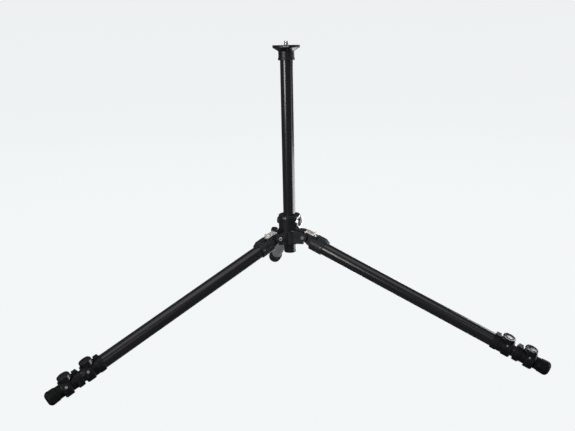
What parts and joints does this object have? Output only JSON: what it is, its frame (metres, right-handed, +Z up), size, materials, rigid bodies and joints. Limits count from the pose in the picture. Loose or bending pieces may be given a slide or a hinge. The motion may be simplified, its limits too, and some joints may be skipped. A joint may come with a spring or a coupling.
{
  "type": "camera tripod",
  "caption": "Folding camera stand: legs with flip-lock telescoping sections on a hub, a sliding centre column and a round camera plate with a stud.",
  "frame": {"origin": "middle of the camera plate's top face, on the column's axis", "axes": "+Z up along the column and out of the camera plate; +Y over the rear leg; +X completes the right-handed frame"},
  "size_m": [1.0092, 0.8777, 0.6738],
  "materials": {
    "cast_black": "black powder coat, fine satin texture",
    "collar_black": "black glass-filled plastic, satin",
    "liner_plastic": "dark grey bearing plastic",
    "tube_black": "black anodised, satin with faint warm sheen",
    "inner_tube_black": "black anodised, satin, slightly rubbed",
    "lock_plastic": "black plastic, fine texture",
    "lever_plastic": "black plastic, polished by handling",
    "latch_metal": "satin aluminium",
    "bezel_metal": "polished aluminium ring",
    "steel": "bright steel",
    "dark_steel": "blackened steel",
    "plate_black": "black anodised, satin",
    "cap_plastic": "black plastic, semi-gloss",
    "pad_nylon": "natural nylon",
    "bush_plastic": "grey bearing plastic",
    "foot_rubber": "black rubber, matt"
  },
  "bodies": {
    "hub": {"spider": "cast_black", "collar": "collar_black", "column_liner": "liner_plastic", "sleeve_bezel": "bezel_metal", "sleeve_caps": "cap_plastic", "collar_screws": "dark_steel", "pivot_bolts": "steel", "lock_pad": "pad_nylon"},
    "lock_knob": {"lock_knob": "cap_plastic", "lock_spindle": "steel"},
    "column": {"column_tube": "tube_black", "head_plate": "plate_black", "head_stud": "steel", "plate_screws": "dark_steel", "column_end_cap": "lock_plastic"},
    "rear_leg": {"rear_shoulder": "cast_black", "rear_upper_tube": "tube_black", "rear_upper_clamp": "lock_plastic", "rear_upper_hardware": "steel"},
    "rear_latch": {"rear_latch": "latch_metal"},
    "rear_upper_lever": {"rear_upper_lever": "lever_plastic"},
    "rear_middle": {"rear_middle_tube": "inner_tube_black", "rear_middle_bush": "bush_plastic", "rear_lower_clamp": "lock_plastic", "rear_lower_hardware": "steel"},
    "rear_lower_lever": {"rear_lower_lever": "lever_plastic"},
    "rear_lower": {"rear_lower_tube": "inner_tube_black", "rear_lower_bush": "bush_plastic", "rear_foot": "foot_rubber"},
    "left_leg": {"left_shoulder": "cast_black", "left_upper_tube": "tube_black", "left_upper_clamp": "lock_plastic", "left_upper_hardware": "steel"},
    "left_latch": {"left_latch": "latch_metal"},
    "left_upper_lever": {"left_upper_lever": "lever_plastic"},
    "left_middle": {"left_middle_tube": "inner_tube_black", "left_middle_bush": "bush_plastic", "left_lower_clamp": "lock_plastic", "left_lower_hardware": "steel"},
    "left_lower_lever": {"left_lower_lever": "lever_plastic"},
    "left_lower": {"left_lower_tube": "inner_tube_black", "left_lower_bush": "bush_plastic", "left_foot": "foot_rubber"},
    "right_leg": {"right_shoulder": "cast_black", "right_upper_tube": "tube_black", "right_upper_clamp": "lock_plastic", "right_upper_hardware": "steel"},
    "right_latch": {"right_latch": "latch_metal"},
    "right_upper_lever": {"right_upper_lever": "lever_plastic"},
    "right_middle": {"right_middle_tube": "inner_tube_black", "right_middle_bush": "bush_plastic", "right_lower_clamp": "lock_plastic", "right_lower_hardware": "steel"},
    "right_lower_lever": {"right_lower_lever": "lever_plastic"},
    "right_lower": {"right_lower_tube": "inner_tube_black", "right_lower_bush": "bush_plastic", "right_foot": "foot_rubber"}
  },
  "joints": [
    {"name": "column_slide", "type": "slide", "parent": "hub", "child": "column", "axis": [0, 0, 1], "range_m": [-0.34, 0]},
    {"name": "lock_knob_turn", "type": "hinge", "parent": "hub", "child": "lock_knob", "pos_m": [-0.02944, 0.017, -0.417], "axis": [-0.866, 0.5, 0], "range_deg": [0, 360]},
    {"name": "rear_leg_fold", "type": "hinge", "parent": "hub", "child": "rear_leg", "pos_m": [0, 0.0393, -0.42294], "axis": [-1, 0, 0], "range_deg": [0, 67]},
    {"name": "rear_latch_slide", "type": "slide", "parent": "rear_leg", "child": "rear_latch", "axis": [0, 0.9225, -0.3859], "range_m": [0, 0.006], "stiffness_N_per_m": 500, "springref_m": -0.004},
    {"name": "rear_upper_lever_flip", "type": "hinge", "parent": "rear_leg", "child": "rear_upper_lever", "pos_m": [0.00135, 0.48506, -0.59493], "axis": [0.9976, -0.0269, -0.0644], "range_deg": [0, 100]},
    {"name": "rear_lower_lever_flip", "type": "hinge", "parent": "rear_middle", "child": "rear_lower_lever", "pos_m": [0.00135, 0.5298, -0.61364], "axis": [0.9976, -0.0269, -0.0644], "range_deg": [0, 100]},
    {"name": "rear_middle_slide", "type": "slide", "parent": "rear_leg", "child": "rear_middle", "axis": [0, 0.9225, -0.3859], "range_m": [0, 0.4]},
    {"name": "rear_lower_slide", "type": "slide", "parent": "rear_middle", "child": "rear_lower", "axis": [0, 0.9225, -0.3859], "range_m": [0, 0.4]},
    {"name": "left_leg_fold", "type": "hinge", "parent": "hub", "child": "left_leg", "pos_m": [-0.03404, -0.01965, -0.42294], "axis": [0.5, -0.866, 0], "range_deg": [0, 67]},
    {"name": "left_latch_slide", "type": "slide", "parent": "left_leg", "child": "left_latch", "axis": [-0.7989, -0.4613, -0.3859], "range_m": [0, 0.006], "stiffness_N_per_m": 500, "springref_m": -0.004},
    {"name": "left_upper_lever_flip", "type": "hinge", "parent": "left_leg", "child": "left_upper_lever", "pos_m": [-0.42075, -0.24136, -0.59493], "axis": [-0.4755, 0.8774, -0.0644], "range_deg": [0, 100]},
    {"name": "left_lower_lever_flip", "type": "hinge", "parent": "left_middle", "child": "left_lower_lever", "pos_m": [-0.4595, -0.26373, -0.61364], "axis": [-0.4755, 0.8774, -0.0644], "range_deg": [0, 100]},
    {"name": "left_middle_slide", "type": "slide", "parent": "left_leg", "child": "left_middle", "axis": [-0.7989, -0.4613, -0.3859], "range_m": [0, 0.4]},
    {"name": "left_lower_slide", "type": "slide", "parent": "left_middle", "child": "left_lower", "axis": [-0.7989, -0.4613, -0.3859], "range_m": [0, 0.4]},
    {"name": "right_leg_fold", "type": "hinge", "parent": "hub", "child": "right_leg", "pos_m": [0.03404, -0.01965, -0.42294], "axis": [0.5, 0.866, 0], "range_deg": [0, 67]},
    {"name": "right_latch_slide", "type": "slide", "parent": "right_leg", "child": "right_latch", "axis": [0.7989, -0.4613, -0.3859], "range_m": [0, 0.006], "stiffness_N_per_m": 500, "springref_m": -0.004},
    {"name": "right_upper_lever_flip", "type": "hinge", "parent": "right_leg", "child": "right_upper_lever", "pos_m": [0.4194, -0.2437, -0.59493], "axis": [-0.5221, -0.8505, -0.0644], "range_deg": [0, 100]},
    {"name": "right_lower_lever_flip", "type": "hinge", "parent": "right_middle", "child": "right_lower_lever", "pos_m": [0.45814, -0.26607, -0.61364], "axis": [-0.5221, -0.8505, -0.0644], "range_deg": [0, 100]},
    {"name": "right_middle_slide", "type": "slide", "parent": "right_leg", "child": "right_middle", "axis": [0.7989, -0.4613, -0.3859], "range_m": [0, 0.4]},
    {"name": "right_lower_slide", "type": "slide", "parent": "right_middle", "child": "right_lower", "axis": [0.7989, -0.4613, -0.3859], "range_m": [0, 0.4]}
  ]
}
